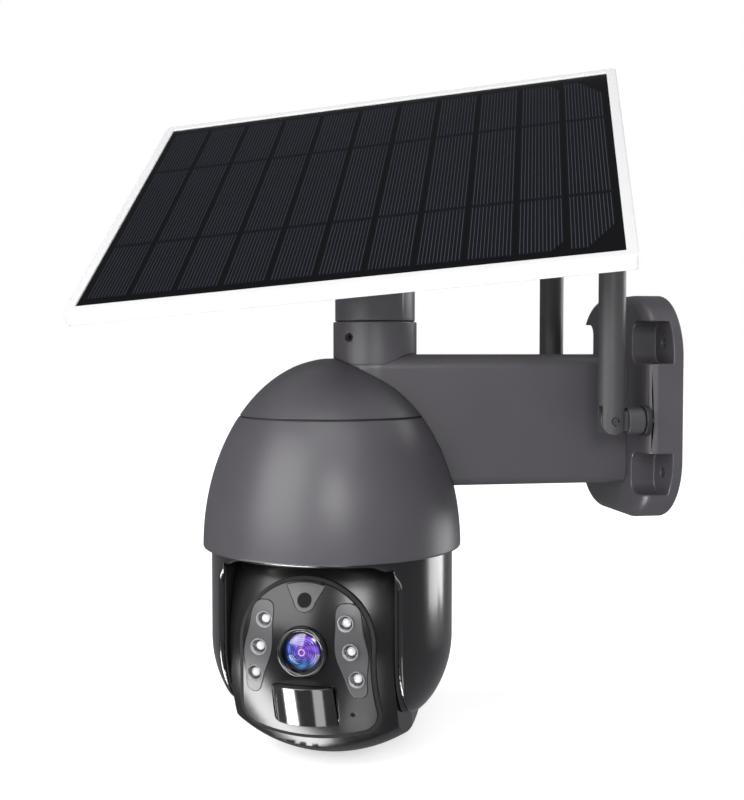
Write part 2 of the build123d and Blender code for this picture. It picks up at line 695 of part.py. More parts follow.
def antenna():
    """A rounded stick with a forked foot about its hinge."""
    stick = Pos(0, antenna_y, -9) * extrude(Ellipse(antenna_r * antenna_flat, antenna_r), amount=antenna_l + 9)
    stick = fillet(stick.edges().group_by(Axis.Z)[-1], 2)
    stick -= block((-9, 9), (antenna_y - 9, antenna_y + 9), (-9, 0)) - rod(6.2, 18, (-9, antenna_y, 0), "x")
    stick -= block((-tongue_t / 2 - 0.2, tongue_t / 2 + 0.2), (antenna_y - 9, antenna_y + 9), (-9, 7))
    return stick - rod(1.5 + running, 30, (-15, antenna_y, 0), "x")


# ---------------------------------------------------------------- write every node
fixed_dome, fixed_cap, fixed_seal = dome_parts()
dome = dome_solid()
cells, end_frames = battery()
save("wall_plate", wall_plate())
save("arm_housing", arm_solid(0) - arm_solid(arm_wall) - dome - rod(6, 9, (0, collar_y, arm_z + arm_h / 2 - 5)))
save("battery_cells", *cells)
save("battery_frames", *end_frames)
save("charge_board", charge_board())
save("dome_shell", fixed_dome)
save("dome_cap", fixed_cap)
save("cap_seal", fixed_seal)
save("main_board", main_board())
save("pan_base", pan_base())
save("base_screws", *base_screws())
save("pan_bearing", pan_bearing())
save("pan_motor", pan_motor())
save("pan_pinion", pan_pinion())
save("panel_collar", panel_collar())
save("collar_screw", collar_screw())
save("antenna_sockets", *antenna_sockets())

head = Pos(0, dome_y, tilt_z) * Rot(0, 0, head_az)
front_half, rear_half, service_cover = ball_parts()
lens_ring, lens_barrel, lens_glass = lens_parts()
head_nodes = {
    "yoke_shell": [yoke_shell()],
    "cheek_plates": [cheek_plates()],
    "spindle": [spindle()],
    "pan_gear": [pan_gear()],
    "tilt_motor": [tilt_motor()],
    "tilt_pinion": [tilt_pinion()],
    "tilt_bushes": tilt_bushes(),
    "tilt_axles": tilt_axles(),
    "tilt_gear": [tilt_gear()],
    "ball_front": [front_half],
    "ball_rear": [rear_half],
    "service_cover": [service_cover],
    "service_board": [service_board()],
    "reset_button": [reset_button()],
    "face_plate": [face_plate()],
    "face_gasket": [from_face(face_outline(gasket_w) - face_outline(), gasket_r, seat_r)],
    "face_trims": face_trims(),
    "led_cups": led_cups(),
    "led_lenses": led_lenses(),
    "light_sensor": [rod(sensor_r - 0.02, 3, (0, surface_y(0, sensor_v) - 0.4, sensor_v), "y")],
    "lens_ring": [lens_ring],
    "lens_barrel": [lens_barrel],
    "lens_glass": [lens_glass],
    "image_board": [image_board()],
    "led_board": [led_board()],
    "motion_window": [motion_window()],
    "microphone": [microphone()],
    "speaker": [speaker()],
}
for name, shapes in head_nodes.items():
    save(name, *[head * shape for shape in shapes])

save("swivel_post", swivel_post())
save("hinge_bolt", *hinge_bolt())
tilted = Pos(0, collar_y, pivot_z) * Rot(0, 0, panel_az) * Rot(panel_tilt, 0, 0)
save("tilt_knuckle", tilted * tilt_knuckle())
spun = tilted * Rot(0, 0, panel_spin)
centred = spun * Pos(panel_dx, panel_dy, 0)
save("mount_plate", spun * mount_plate())
save("spin_bolt", spun * spin_bolt())
for name, shape in (("panel_frame", panel_frame()), ("solar_laminate", solar_laminate()),
                    ("panel_back", panel_back()), ("junction_box", junction_box()), ("cable_gland", cable_gland())):
    save(name, centred * shape)

for side, x in (("right", antenna_x), ("left", -antenna_x)):
    save(f"{side}_antenna_base", Pos(x, 0, antenna_z) * antenna_base())
    save(f"{side}_antenna", Pos(x, 0, antenna_z) * antenna())
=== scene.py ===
# %% [markdown]
# # A solar security camera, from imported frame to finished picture
# The camera hangs from a wall arm: a plate, an arm, a dome, a yoke that pans and a
# ball that tilts, with a solar panel on a post above. Every solid already stands in
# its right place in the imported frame. This lesson gives those solids their finish:
# rounded mouldings, coated glass, solar cells, and a studio to look at them in.
#
# The frame is loaded first, and its box is kept, because the finished model must
# stay inside it.

# %% Load the frame
import json
import math

import bmesh
import bpy
from mathutils import Matrix, Vector


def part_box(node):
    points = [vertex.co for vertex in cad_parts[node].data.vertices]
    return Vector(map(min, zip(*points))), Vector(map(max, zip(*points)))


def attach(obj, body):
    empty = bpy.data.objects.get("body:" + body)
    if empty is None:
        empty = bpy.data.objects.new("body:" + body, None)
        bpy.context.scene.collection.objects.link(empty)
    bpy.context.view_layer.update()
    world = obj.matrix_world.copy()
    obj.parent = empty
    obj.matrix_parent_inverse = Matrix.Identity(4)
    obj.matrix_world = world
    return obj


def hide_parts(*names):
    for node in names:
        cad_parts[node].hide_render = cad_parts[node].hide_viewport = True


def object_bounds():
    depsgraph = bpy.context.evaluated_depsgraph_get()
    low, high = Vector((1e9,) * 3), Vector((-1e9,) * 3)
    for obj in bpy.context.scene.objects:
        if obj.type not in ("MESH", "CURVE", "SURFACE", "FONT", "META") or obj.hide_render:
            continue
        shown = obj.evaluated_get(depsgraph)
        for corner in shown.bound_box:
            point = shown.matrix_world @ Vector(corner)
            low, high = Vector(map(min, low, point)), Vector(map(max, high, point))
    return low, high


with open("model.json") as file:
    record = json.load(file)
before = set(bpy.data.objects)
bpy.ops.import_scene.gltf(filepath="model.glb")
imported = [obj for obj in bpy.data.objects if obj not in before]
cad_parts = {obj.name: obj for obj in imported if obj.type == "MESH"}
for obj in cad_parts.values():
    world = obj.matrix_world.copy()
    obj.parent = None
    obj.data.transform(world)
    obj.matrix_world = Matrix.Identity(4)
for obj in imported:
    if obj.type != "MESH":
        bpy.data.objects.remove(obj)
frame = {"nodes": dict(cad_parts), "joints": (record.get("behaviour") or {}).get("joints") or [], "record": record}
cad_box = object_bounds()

nodes = frame["nodes"]
joints = {joint["name"]: joint for joint in frame["joints"]}
bodies = frame["record"]["behaviour"]["bodies"]
body_of_node = {node: body for body, members in bodies.items() for node in members}
MM = 0.001
print(len(nodes), "solids from", [round(v, 3) for v in cad_box[0]])
print("to", [round(v, 3) for v in cad_box[1]])

# %% [markdown]
# ## Directions that the later steps share
# The camera ball tilts about one axis and looks along another, so details of the face
# are easier to place in the ball's own directions. They come from the tilt joint. The
# panel's directions come from its spin joint and from the longest edge of its glass.

# %% The ball's own directions
tilt_joint = joints["head_tilt"]
ball_at = Vector(tilt_joint["pos_m"])
face_right = Vector(tilt_joint["axis"]).normalized()
face_up = Vector((0, 0, 1))
face_out = face_right.cross(face_up)
print("the ball looks along", [round(v, 3) for v in face_out])

# %% [markdown]
# ## Welding and rounding a moulding
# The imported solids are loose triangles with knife-sharp edges. Real mouldings have
# edges rounded by a few tenths of a millimetre, and those edges catch the light. One
# could model each part again, but a copy of the solid keeps every dimension: it is
# welded, its flat triangles are joined into whole faces, its sharp edges are bevelled,
# and it is shaded smooth except where a corner is meant. A thin frame keeps its triangles,
# because one whole face round an opening can be drawn across the opening after a bevel.

# %% Weld a solid into whole faces
def welded(node, whole=True):
    """The solid as one joined mesh, its flat triangles joined into whole faces if asked."""
    shape = bmesh.new()
    shape.from_mesh(nodes[node].data)
    bmesh.ops.remove_doubles(shape, verts=shape.verts, dist=2e-6)
    if whole:
        flat = math.radians(0.5)
        bmesh.ops.dissolve_limit(shape, angle_limit=flat, verts=shape.verts, edges=shape.edges)
    return shape


# %% Bevel a copy and let it stand for the solid
def as_piece(name, shape, finish, body, smooth=35):
    """A bmesh as a finished, smoothly shaded object that rides on a body."""
    mesh = bpy.data.meshes.new(name)
    shape.to_mesh(mesh)
    shape.free()
    for layer in [a for a in mesh.attributes if a.name == "custom_normal"]:
        mesh.attributes.remove(layer)
    mesh.materials.clear()
    mesh.materials.append(finish)
    for face in mesh.polygons:
        face.use_smooth = True
        face.material_index = 0
    mesh.set_sharp_from_angle(angle=math.radians(smooth))
    piece = bpy.data.objects.new(name, mesh)
    bpy.context.collection.objects.link(piece)
    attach(piece, body)
    return piece


def applied(piece):
    """Put a piece's modifiers into its mesh."""
    depsgraph = bpy.context.evaluated_depsgraph_get()
    mesh = bpy.data.meshes.new_from_object(piece.evaluated_get(depsgraph))
    piece.modifiers.clear()
    piece.data = mesh
    return piece


def moulding(node, finish, edge=0.4, steps=2, angle=40):
    """A bevelled copy that stands for a solid. The edge is in millimetres."""
    shape = welded(node, node not in in_triangles)
    piece = as_piece(node + "_moulding", shape, finish, body_of_node[node])
    bevel = piece.modifiers.new("rounded edges", "BEVEL")
    bevel.width = edge * MM
    bevel.segments = steps
    bevel.limit_method = "ANGLE"
    bevel.angle_limit = math.radians(angle)
    bevel.use_clamp_overlap = False
    bevel.miter_outer = "MITER_ARC"
    weighted = piece.modifiers.new("flat faces stay flat", "WEIGHTED_NORMAL")
    weighted.keep_sharp = True
    applied(piece)
    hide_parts(node)
    return piece


in_triangles = {"panel_frame", "right_antenna_base", "left_antenna_base"}
slot_of_node = {part["node"]: part["material_slot"] for part in frame["record"]["subparts"]}
print(len(slot_of_node), "solids have a material slot")

# %% [markdown]
# ## Writing shader maths as sums
# A pattern in a material is arithmetic on sockets. Written node by node it is hard to
# read, so one small class stands for a socket and turns Python's own operators into
# Math nodes. Any other node comes from one method that sets it up and plugs it in.

# %% A socket that adds and multiplies
class Wire:
    """A shader socket that can be used in a sum."""

    def __init__(self, finish, socket):
        self.finish = finish
        self.socket = socket

    def math(self, operation, first, second=0.0):
        return self.finish.node("ShaderNodeMath", {"operation": operation}, {0: first, 1: second})

    def __add__(self, other):
        return self.math("ADD", self, other)

    def __radd__(self, other):
        return self.math("ADD", other, self)

    def __sub__(self, other):
        return self.math("SUBTRACT", self, other)

    def __rsub__(self, other):
        return self.math("SUBTRACT", other, self)

    def __mul__(self, other):
        return self.math("MULTIPLY", self, other)

    def __rmul__(self, other):
        return self.math("MULTIPLY", other, self)

    def __neg__(self):
        return self.math("MULTIPLY", self, -1.0)

    def __truediv__(self, other):
        return self.math("DIVIDE", self, other)

    def __pow__(self, other):
        return self.math("POWER", self, other)

    def below(self, level):
        return self.math("LESS_THAN", self, level)

    def clamped(self):
        return self.math("MINIMUM", self.math("MAXIMUM", self, 0.0), 1.0)


# %% A material being built
class Finish:
    """A material whose nodes are made one call at a time."""

    def __init__(self, name):
        self.material = bpy.data.materials.new(name)
        self.material.use_nodes = True
        self.tree = self.material.node_tree
        self.tree.nodes.clear()

    def node(self, kind, settings=None, inputs=None, out=0):
        made = self.tree.nodes.new(kind)
        for key, value in (settings or {}).items():
            if key == "stops":
                ramp = made.color_ramp
                ramp.elements.remove(ramp.elements[-1])
                for i, (place, colour) in enumerate(value):
                    stop = ramp.elements[0] if i == 0 else ramp.elements.new(place)
                    stop.position = place
                    stop.color = (*colour, 1)
            else:
                setattr(made, key, value)
        for key, value in (inputs or {}).items():
            if isinstance(value, Wire):
                self.tree.links.new(value.socket, made.inputs[key])
            else:
                made.inputs[key].default_value = value
        return Wire(self, made.outputs[out])

    def place(self):
        """Object coordinates, in metres."""
        return self.node("ShaderNodeTexCoord", out="Object")

    def noise(self, size_mm, detail=2, vector=None):
        inputs = {"Vector": vector or self.place(), "Scale": 1 / (size_mm * MM), "Detail": detail}
        return self.node("ShaderNodeTexNoise", None, inputs)

    def blend(self, factor, first, second):
        """One colour fading into another."""
        first = first if isinstance(first, Wire) else (*first, 1)
        second = second if isinstance(second, Wire) else (*second, 1)
        return self.node("ShaderNodeMix", {"data_type": "RGBA"}, {0: factor, 6: first, 7: second}, out=2)

    def bump(self, height, depth_mm, normal=None):
        inputs = {"Height": height, "Distance": depth_mm * MM, "Strength": 1.0}
        if normal:
            inputs["Normal"] = normal
        return self.node("ShaderNodeBump", None, inputs)

    def surface(self, **inputs):
        named = {key.replace("_", " "): value for key, value in inputs.items()}
        for key in ("Base Color", "Emission Color", "Sheen Tint", "Specular Tint"):
            if key in named and not isinstance(named[key], Wire):
                named[key] = (*named[key], 1)
        shader = self.node("ShaderNodeBsdfPrincipled", None, named)
        self.node_out(shader)
        return self.material

    def node_out(self, shader):
        end = self.tree.nodes.new("ShaderNodeOutputMaterial")
        self.tree.links.new(shader.socket, end.inputs["Surface"])


print("sums of sockets are ready")

# %% [markdown]
# ## Plastics
# The housing is charcoal plastic with a fine spark-eroded grain and a satin sheen. The
# yoke is nearly black and polished, and the ball's front is a little duller. Each plastic is
# one recipe: a base colour that drifts a little, a roughness that drifts the other
# way, and a grain as bump. Only the numbers differ.

# %% One recipe for every plastic
def plastic(name, colour, rough, grain_mm=0.35, grain_depth=0.01, drift=0.08, coat=0.0,
            coat_rough=0.1, shine=0.5):
    finish = Finish(name)
    cloud = finish.noise(28, 3)
    speck = finish.noise(grain_mm, 2)
    lighter = tuple(min(1, c * (1 + 2 * drift)) for c in colour)
    darker = tuple(c * (1 - drift) for c in colour)
    return finish.surface(
        Base_Color=finish.blend(cloud, darker, lighter),
        Roughness=(rough + (cloud - 0.5) * 0.08 + (speck - 0.5) * 0.06).clamped(),
        Normal=finish.bump(speck, grain_depth),
        Coat_Weight=coat,
        Coat_Roughness=coat_rough,
        Specular_IOR_Level=shine,
    )


charcoal = plastic("charcoal_housing", (0.044, 0.041, 0.047), 0.42, 0.5, 0.014, coat=0.12,
                   coat_rough=0.3)
antenna_black = plastic("antenna_sleeve", (0.036, 0.035, 0.037), 0.45, 0.4, 0.012)
piano_black = plastic("polished_black", (0.0065, 0.0065, 0.007), 0.20, 0.5, 0.0006, coat=0.7,
                      coat_rough=0.12)
satin_black = plastic("satin_black", (0.0055, 0.0055, 0.006), 0.24, 0.5, 0.0008, coat=0.05, shine=0.42)
inner_black = plastic("inner_black", (0.014, 0.014, 0.015), 0.5, 0.4, 0.012)
rubber_black = plastic("seal_rubber", (0.010, 0.010, 0.010), 0.78, 0.25, 0.02)
trim_grey = plastic("lamp_trim_grey", (0.042, 0.042, 0.044), 0.42, 0.4, 0.008, coat=0.2, coat_rough=0.2)
panel_white = plastic("panel_frame_white", (0.50, 0.50, 0.505), 0.36, 0.6, 0.008, drift=0.02)
gear_white = plastic("gear_nylon", (0.68, 0.67, 0.62), 0.42, 0.4, 0.006, drift=0.03)
cell_wrap = plastic("battery_wrap", (0.05, 0.16, 0.38), 0.30, 0.8, 0.006, coat=0.4)
print("ten plastics")

# %% [markdown]
# ## Metals and boards
# Screws, axles and cups are metal. A turned or plated surface is never evenly rough, so
# a fine noise moves the roughness, and on plain steel a coarser one dulls it in
# patches. The circuit boards are green lacquer over a faint weave.

# %% One recipe for every metal
def metal(name, colour, rough, spread=0.12, grain_mm=0.6, depth=0.002):
    finish = Finish(name)
    patch = finish.noise(6, 3)
    grain = finish.noise(grain_mm, 2)
    return finish.surface(
        Base_Color=finish.blend(patch, tuple(c * 0.9 for c in colour), colour),
        Metallic=1.0,
        Roughness=(rough + (patch - 0.5) * spread + (grain - 0.5) * 0.08).clamped(),
        Normal=finish.bump(grain, depth),
    )


steel = metal("screw_steel", (0.60, 0.60, 0.61), 0.30)
chrome = metal("reflector_chrome", (0.86, 0.86, 0.87), 0.34, 0.05)
motor_can = metal("motor_can", (0.52, 0.52, 0.52), 0.38, 0.2)
brass = metal("bush_brass", (0.72, 0.50, 0.22), 0.28)
silver_line = metal("printed_silver", (0.10, 0.105, 0.115), 0.5)
black_steel = metal("blackened_steel", (0.030, 0.030, 0.031), 0.45)


def lacquered_board():
    finish = Finish("board_lacquer")
    wave = finish.node("ShaderNodeTexWave", {"bands_direction": "DIAGONAL"},
                       {"Vector": finish.place(), "Scale": 900.0}, out=1)
    patch = finish.noise(4, 2)
    return finish.surface(Base_Color=finish.blend(patch, (0.008, 0.075, 0.03), (0.014, 0.12, 0.05)),
                          Roughness=0.30 + patch * 0.2, Normal=finish.bump(wave, 0.01), Coat_Weight=0.4)


board_green = lacquered_board()
print("six metals and the board lacquer")

# %% [markdown]
# ## Glass and clear plastic
# Three clear parts face outwards: the lamps' domes, the lens and the motion window. The
# lamp domes are clear resin that bends the light of the cups behind them. The lens
# carries a coating whose colour changes from the middle outwards, so its tint is a
# ramp on the distance from the lens axis. Over the tint lie painted reflections: a violet
# highlight high up, a green one low down, and painted streaks and rings. The lens
# glows with this painted colour, though it is no lamp. The motion window is smoked
# resin, black and glossy, and it lets almost nothing through.

# %% Lens coating by distance from the axis
lens_low, lens_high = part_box("lens_glass")
lens_middle = (lens_low + lens_high) / 2


def from_axis(finish, centre):
    """Distance in metres from a line along the ball's viewing direction, and its two parts."""
    offset = finish.node("ShaderNodeVectorMath", {"operation": "SUBTRACT"},
                         {0: finish.place(), 1: centre})
    parts = []
    for direction in (face_right, face_up):
        parts.append(finish.node("ShaderNodeVectorMath", {"operation": "DOT_PRODUCT"},
                                 {0: offset, 1: direction}, out=1))
    across, height = parts
    return (across * across + height * height) ** 0.5, across, height


def lens_coating_with_painted_glow():
    finish = Finish("coated_lens_painted_glow")
    radius, across, height = from_axis(finish, lens_middle)
    share = radius / (9.3 * MM)
    blues = finish.node("ShaderNodeValToRGB", {"stops": [
        (0.00, (0.010, 0.006, 0.030)), (0.10, (0.16, 0.07, 0.36)), (0.16, (0.50, 0.34, 0.72)),
        (0.22, (0.05, 0.02, 0.16)), (0.36, (0.05, 0.05, 0.34)), (0.52, (0.02, 0.03, 0.16)),
        (0.68, (0.05, 0.10, 0.46)), (0.80, (0.01, 0.02, 0.10)), (0.88, (0.004, 0.006, 0.02)),
        (1.00, (0.001, 0.001, 0.002))]}, {0: share})
    angle = finish.node("ShaderNodeMath", {"operation": "ARCTAN2"}, {0: height, 1: across})
    # painted streaks of light that fan round the axis; the rings are painted glints and also a bump
    painted_streaks = finish.node("ShaderNodeMath", {"operation": "SINE"}, {0: angle * 7.0 + share * 9.0})
    rings = finish.node("ShaderNodeMath", {"operation": "SINE"}, {0: share * 58.0})
    # a painted violet highlight on the upper side and a painted green reflection low down
    violet_painted_highlight = ((across + height) / (9.3 * MM) * 0.6 + 0.35).clamped()
    green_painted_reflection = ((-height) / (9.3 * MM) * 1.1 - 0.25).clamped() * share.below(0.86)
    shade = finish.blend(violet_painted_highlight * share.below(0.84) * 0.55, blues, (0.22, 0.05, 0.50))
    shade = finish.blend(green_painted_reflection * 0.7, shade, (0.01, 0.16, 0.13))
    # light is a painted glow mask that the painted streaks and rings brighten
    light = (painted_streaks * share * 0.45 + rings * 0.30 + 0.55).clamped()
    # the coating's tint with the painted highlights, used as colour and as a painted glow
    tint_and_painted_glow = finish.blend(light, (0.004, 0.004, 0.012), shade)
    return finish.surface(
        Base_Color=tint_and_painted_glow,
        # the lens glows with its painted colour, though it is no lamp
        Emission_Color=tint_and_painted_glow,
        Emission_Strength=0.7,
        Roughness=0.10,
        Normal=finish.bump(rings, 0.02),
        Coat_Weight=1.0,
        Coat_Roughness=0.03,
    )


coated_glass = lens_coating_with_painted_glow()
print("lens coating around", [round(v, 4) for v in lens_middle])


# %% Clear lamp domes and the smoked window
def clear_resin():
    finish = Finish("lamp_dome_resin")
    haze = finish.noise(1.5, 2)
    return finish.surface(Base_Color=finish.blend(haze, (0.62, 0.62, 0.63), (0.80, 0.80, 0.81)),
                          Roughness=0.10 + haze * 0.08, IOR=1.49, Transmission_Weight=0.35,
                          Coat_Weight=0.6)


def smoked_resin():
    finish = Finish("smoked_window")
    haze = finish.noise(9, 2)
    return finish.surface(Base_Color=finish.blend(haze, (0.004, 0.004, 0.004), (0.010, 0.009, 0.010)),
                          Roughness=0.12 + haze * 0.04, Coat_Weight=1.0, Coat_Roughness=0.09,
                          Normal=finish.bump(haze, 0.002))


clear_lens = clear_resin()
smoked_window = smoked_resin()

# %% [markdown]
# ## Solar glass
# A small panel is black backing, dark blue cells and a clear cover. A real sheet over
# the cells would need a refracting layer that costs much render time, so the cover is
# left out, and the backing and cells get a low, even shine instead, as under a matt
# laminate. A slow noise drifts the blue, as silicon from different wafers does.

# %% Backing and cell finishes
def solar_finish(name, low, high, size_mm):
    finish = Finish(name)
    tone = finish.noise(size_mm, 1)
    crystal = finish.noise(1.2, 3)
    return finish.surface(
        Base_Color=finish.blend((tone * 0.7 + crystal * 0.3).clamped(), low, high),
        Roughness=0.30 + crystal * 0.1,
        Specular_IOR_Level=0.08,
    )


solar_backing = solar_finish("solar_backing", (0.0008, 0.0009, 0.0012), (0.0015, 0.0016, 0.002), 40)
solar_cell = solar_finish("solar_cell", (0.0012, 0.0016, 0.0030), (0.0026, 0.0033, 0.0065), 45)
print("solar backing and cells")

# %% [markdown]
# ## Dressing the solids
# Every solid gets the finish of its material slot. Inner parts such as the motors,
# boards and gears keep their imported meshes: they show only through gaps, and their
# shapes are already right. The face, the ball's front and the collar's set screw
# differ from the rest of their slots, so they are named one by one.

# %% Slot by slot
finish_of_slot = {
    "body_plastic": charcoal, "antenna_plastic": antenna_black, "gloss_black": piano_black,
    "black_plastic": inner_black, "rubber": rubber_black, "trim_grey": trim_grey, "chrome": chrome,
    "clear_lens": clear_lens, "coated_glass": coated_glass, "smoked_window": smoked_window,
    "white_plastic": panel_white, "solar_glass": solar_backing, "steel": steel, "motor_can": motor_can,
    "gear_white": gear_white, "brass": brass, "board_green": board_green, "cell_wrap": cell_wrap,
}
finish_of_node = {name: finish_of_slot[slot_of_node[name]] for name in nodes}
finish_of_node.update(face_plate=satin_black, ball_front=satin_black, collar_screw=black_steel)
for name, node in nodes.items():
    node.data.materials.clear()
    node.data.materials.append(finish_of_node[name])
print("dressed", len(nodes), "solids in", len(finish_of_slot), "finishes")

# %% [markdown]
# ## The mouldings that show
# The outer shells are welded and bevelled. Large housings have softer edges than
# small trims, so each has its own edge in millimetres. The yoke's arch has the
# widest one, a polished bevel that frames the ball.

# %% Round the outer parts
edge_of = {
    "wall_plate": 0.5, "arm_housing": 0.3, "dome_shell": 0.25, "dome_cap": 0.25, "panel_collar": 0.5,
    "swivel_post": 0.5, "tilt_knuckle": 0.6, "mount_plate": 0.5, "yoke_shell": 0.9, "ball_front": 0.35,
    "ball_rear": 0.35, "service_cover": 0.3, "face_plate": 0.25, "face_trims": 0.2, "lens_ring": 0.2,
    "motion_window": 0.5, "panel_frame": 0.4, "panel_back": 0.5, "junction_box": 0.9, "cable_gland": 0.3,
    "right_antenna": 0.4, "left_antenna": 0.4, "right_antenna_base": 0.3, "left_antenna_base": 0.3,
    "hinge_bolt": 0.3, "antenna_sockets": 0.3, "cheek_plates": 0.2, "pan_base": 0.3, "face_gasket": 0.15,
    "collar_screw": 0.15, "spin_bolt": 0.3, "lens_barrel": 0.15,
}
mouldings = {}
for name, edge in edge_of.items():
    mouldings[name] = moulding(name, finish_of_node[name], edge)
    print(name, "has", len(mouldings[name].data.polygons), "faces")

# %% [markdown]
# ## The solar cells
# Eleven strips of silicon stand side by side on the backing. The strips were sawn from
# near-square wafers, so the last two have cut corners. Each strip is a thin polygon, and
# its place is worked out from the size of the glass, in the panel's own directions.

# %% The panel's own directions
panel_out = Vector(joints["panel_spin"]["axis"]).normalized()
glass = welded("solar_laminate")
long_edge = max(glass.edges, key=lambda e: e.calc_length())
panel_long = long_edge.verts[1].co - long_edge.verts[0].co
panel_long = (panel_long - panel_out * panel_long.dot(panel_out)).normalized()
panel_long = panel_long if panel_long.y > 0 else -panel_long
panel_deep = panel_out.cross(panel_long)


def span(direction):
    """Lowest and highest reach of the glass along a direction."""
    reach = [v.co.dot(direction) for v in glass.verts]
    return min(reach), max(reach)


long_span, deep_span, out_span = span(panel_long), span(panel_deep), span(panel_out)
glass.free()
glass_long = long_span[1] - long_span[0]
glass_deep = deep_span[1] - deep_span[0]
panel_turn = Matrix((panel_long, panel_deep, panel_out)).transposed().to_4x4()
panel_place = Matrix.Translation(panel_long * sum(long_span) / 2 + panel_deep * sum(deep_span) / 2
                                 + panel_out * out_span[1]) @ panel_turn
print("glass", round(glass_long * 1000, 1), "by", round(glass_deep * 1000, 1), "mm")

# %% Eleven strips of silicon
cell_columns = 11
cell_margin = 3.2 * MM
column_gap = 2.3 * MM
cell_lift = 0.06 * MM
column_pitch = (glass_long - 2 * cell_margin + column_gap) / cell_columns
cell_width = column_pitch - column_gap
cell_depth = glass_deep - 2 * 5.0 * MM
cut_corner = {cell_columns - 1: (12 * MM, 17 * MM), cell_columns - 2: (5 * MM, 7 * MM)}


def column_start(column):
    return -glass_long / 2 + cell_margin + column * column_pitch


def cell_strips():
    shape = bmesh.new()
    for column in range(cell_columns):
        left, right = column_start(column), column_start(column) + cell_width
        half = cell_depth / 2
        cut_x, cut_y = cut_corner.get(column, (0, 0))
        outline = [(left, -half), (right - cut_x, -half), (right, -half + cut_y), (right, half - cut_y),
                   (right - cut_x, half), (left, half)]
        if not cut_x:
            outline = [(left, -half), (right, -half), (right, half), (left, half)]
        top = [shape.verts.new((x, y, cell_lift)) for x, y in outline]
        bottom = [shape.verts.new((x, y, -cell_lift)) for x, y in outline]
        shape.faces.new(top)
        shape.faces.new(bottom[::-1])
        for i in range(len(top)):
            j = (i + 1) % len(top)
            shape.faces.new((top[j], top[i], bottom[i], bottom[j]))
    shape.transform(panel_place)
    return shape


cells = as_piece("solar_cells", cell_strips(), solar_cell, "panel")
print(cell_columns, "strips,", round(cell_width * 1000, 1), "mm wide")

# %% [markdown]
# ## The printed fingers
# Each strip carries a dozen hair-thin silver lines that gather the current, and two
# dark ribbons cross them. Hundreds of equal lines are a job for Geometry Nodes: one
# box is set at every point of a grid. The grid's index says which strip, which line and
# which of the three stretches between the ribbons it is, and the lines on cut corners
# are shortened by the same tree.

# %% A small helper for trees
class Grove:
    """A geometry node tree being built, with named inputs."""

    def __init__(self, name):
        self.tree = bpy.data.node_groups.new(name, "GeometryNodeTree")
        self.tree.interface.new_socket("Geometry", in_out="OUTPUT", socket_type="NodeSocketGeometry")
        self.entry = self.tree.nodes.new("NodeGroupInput")
        self.exit = self.tree.nodes.new("NodeGroupOutput")
        self.values = {}

    def given(self, name, kind, value):
        """A named input of the tree, and the value it will be given."""
        made = self.tree.interface.new_socket(name, in_out="INPUT", socket_type="NodeSocket" + kind)
        self.values[made.identifier] = value
        return next(s for s in self.entry.outputs if s.identifier == made.identifier)

    def node(self, kind, settings=None, inputs=None, out=0):
        made = self.tree.nodes.new(kind)
        for key, value in (settings or {}).items():
            setattr(made, key, value)
        for key, value in (inputs or {}).items():
            if isinstance(value, bpy.types.NodeSocket):
                self.tree.links.new(value, made.inputs[key])
            else:
                made.inputs[key].default_value = value
        return made.outputs[out]

    def sum(self, operation, first, second=0.0, third=0.0):
        return self.node("ShaderNodeMath", {"operation": operation}, {0: first, 1: second, 2: third})

    def vector(self, x=0.0, y=0.0, z=0.0):
        return self.node("ShaderNodeCombineXYZ", None, {0: x, 1: y, 2: z})

    def grown(self, name, geometry, finish, body, place=None, smooth=35):
        """Close the tree, run it once and keep the result as a plain mesh on a body."""
        real = self.node("GeometryNodeRealizeInstances", None, {0: geometry})
        painted = self.node("GeometryNodeSetMaterial", None, {"Geometry": real, "Material": finish})
        self.tree.links.new(painted, self.exit.inputs[0])
        seedling = bpy.data.objects.new(name + "_tree", bpy.data.meshes.new(name))
        bpy.context.collection.objects.link(seedling)
        modifier = seedling.modifiers.new("tree", "NODES")
        modifier.node_group = self.tree
        for identifier, value in self.values.items():
            modifier[identifier] = value
        depsgraph = bpy.context.evaluated_depsgraph_get()
        mesh = bpy.data.meshes.new_from_object(seedling.evaluated_get(depsgraph))
        bpy.data.objects.remove(seedling)
        if place is not None:
            mesh.transform(place)
        for face in mesh.polygons:
            face.use_smooth = True
        mesh.set_sharp_from_angle(angle=math.radians(smooth))
        piece = bpy.data.objects.new(name, mesh)
        bpy.context.collection.objects.link(piece)
        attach(piece, body)
        print(name, "has", len(mesh.polygons), "faces")
        return piece


